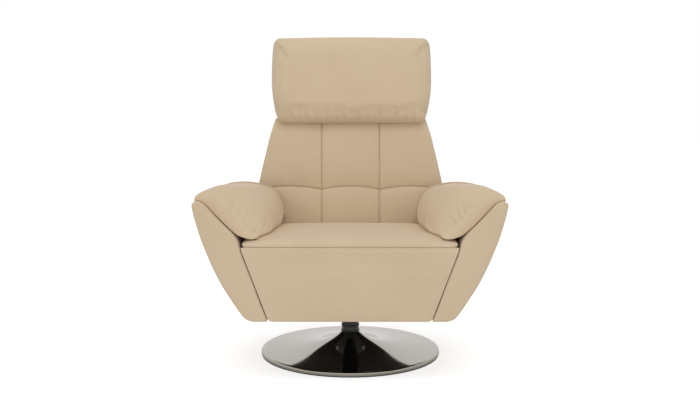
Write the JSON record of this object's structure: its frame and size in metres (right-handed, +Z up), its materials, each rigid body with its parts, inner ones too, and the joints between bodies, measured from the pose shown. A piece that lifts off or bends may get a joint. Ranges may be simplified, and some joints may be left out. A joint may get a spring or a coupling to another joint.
{
  "type": "swivel recliner",
  "caption": "Swivel recliner with padded wing arms, tufted back, tilting headrest and fold-out footrest on a round chrome disc base.",
  "frame": {"origin": "on the floor, on the swivel axis, at the middle of the underside of the base", "axes": "+Z up, -Y to the front of the chair, +X to the right of a viewer who faces the chair"},
  "size_m": [0.95, 0.7455, 1.0485],
  "materials": {
    "chrome": "mirror polished",
    "pad_rubber": "matt",
    "ballast_steel": "matt black",
    "column_black": "satin black",
    "bright_steel": "zinc plated",
    "bush_plastic": "matt",
    "frame_wood": "unfinished",
    "strap_fabric": "woven",
    "lining_fabric": "matt",
    "seat_leather": "soft fine grain"
  },
  "bodies": {
    "base": {"base_disc": "chrome", "floor_pad": "pad_rubber", "base_plate": "ballast_steel", "column_socket": "ballast_steel", "socket_screws": "bright_steel", "lower_bush": "bush_plastic", "upper_bush": "bush_plastic", "thrust_washer": "bush_plastic"},
    "seat": {"swivel_spindle": "bright_steel", "retaining_washer": "bright_steel", "retaining_screw": "bright_steel", "column_cover": "column_black", "swivel_plate": "ballast_steel", "plate_bolts": "bright_steel", "mount_beam_left": "frame_wood", "mount_beam_right": "frame_wood", "front_cross_rail": "frame_wood", "middle_cross_rail": "frame_wood", "rear_cross_rail": "frame_wood", "seat_rail_left": "frame_wood", "seat_rail_right": "frame_wood", "seat_webbing": "strap_fabric", "seat_cushion": "seat_leather", "dust_cover": "lining_fabric", "arm_body_left": "seat_leather", "arm_body_right": "seat_leather", "arm_board_left": "frame_wood", "arm_board_right": "frame_wood", "arm_pillow_left": "seat_leather", "arm_pillow_right": "seat_leather", "recline_bracket_left": "ballast_steel", "recline_bracket_right": "ballast_steel", "footrest_bracket_left": "ballast_steel", "footrest_bracket_right": "ballast_steel"},
    "back": {"back_shell": "seat_leather", "back_cushion": "seat_leather", "back_upright_left": "frame_wood", "back_upright_right": "frame_wood", "back_rail_top": "frame_wood", "back_rail_bottom": "frame_wood", "back_webbing": "strap_fabric", "pivot_ear_left": "ballast_steel", "pivot_ear_right": "ballast_steel", "recline_pin_left": "bright_steel", "recline_pin_right": "bright_steel", "headrest_hinge_lower_left": "ballast_steel", "headrest_hinge_lower_right": "ballast_steel"},
    "headrest": {"headrest_pad": "seat_leather", "headrest_board": "frame_wood", "headrest_hinge_upper_left": "ballast_steel", "headrest_hinge_upper_right": "ballast_steel", "headrest_pin_left": "bright_steel", "headrest_pin_right": "bright_steel"},
    "footrest": {"footrest_pad": "seat_leather", "footrest_board": "frame_wood", "footrest_arm_left": "ballast_steel", "footrest_arm_right": "ballast_steel", "footrest_pin_left": "bright_steel", "footrest_pin_right": "bright_steel"}
  },
  "joints": [
    {"name": "seat_swivel", "type": "hinge", "parent": "base", "child": "seat", "pos_m": [0, 0, 0.19], "axis": [0, 0, 1], "continuous": true},
    {"name": "back_recline", "type": "hinge", "parent": "seat", "child": "back", "pos_m": [0, 0.232, 0.262], "axis": [-1, 0, 0], "range_deg": [0, 35]},
    {"name": "headrest_tilt", "type": "hinge", "parent": "back", "child": "headrest", "pos_m": [0, 0.25154, 0.7772], "axis": [1, 0, 0], "range_deg": [0, 40]},
    {"name": "footrest_swing", "type": "hinge", "parent": "seat", "child": "footrest", "pos_m": [0, -0.325, 0.395], "axis": [-1, 0, 0], "range_deg": [0, 85]}
  ],
  "couplings": [
    {"joint": "footrest_swing", "follows": "back_recline", "ratio": 2.4286}
  ]
}
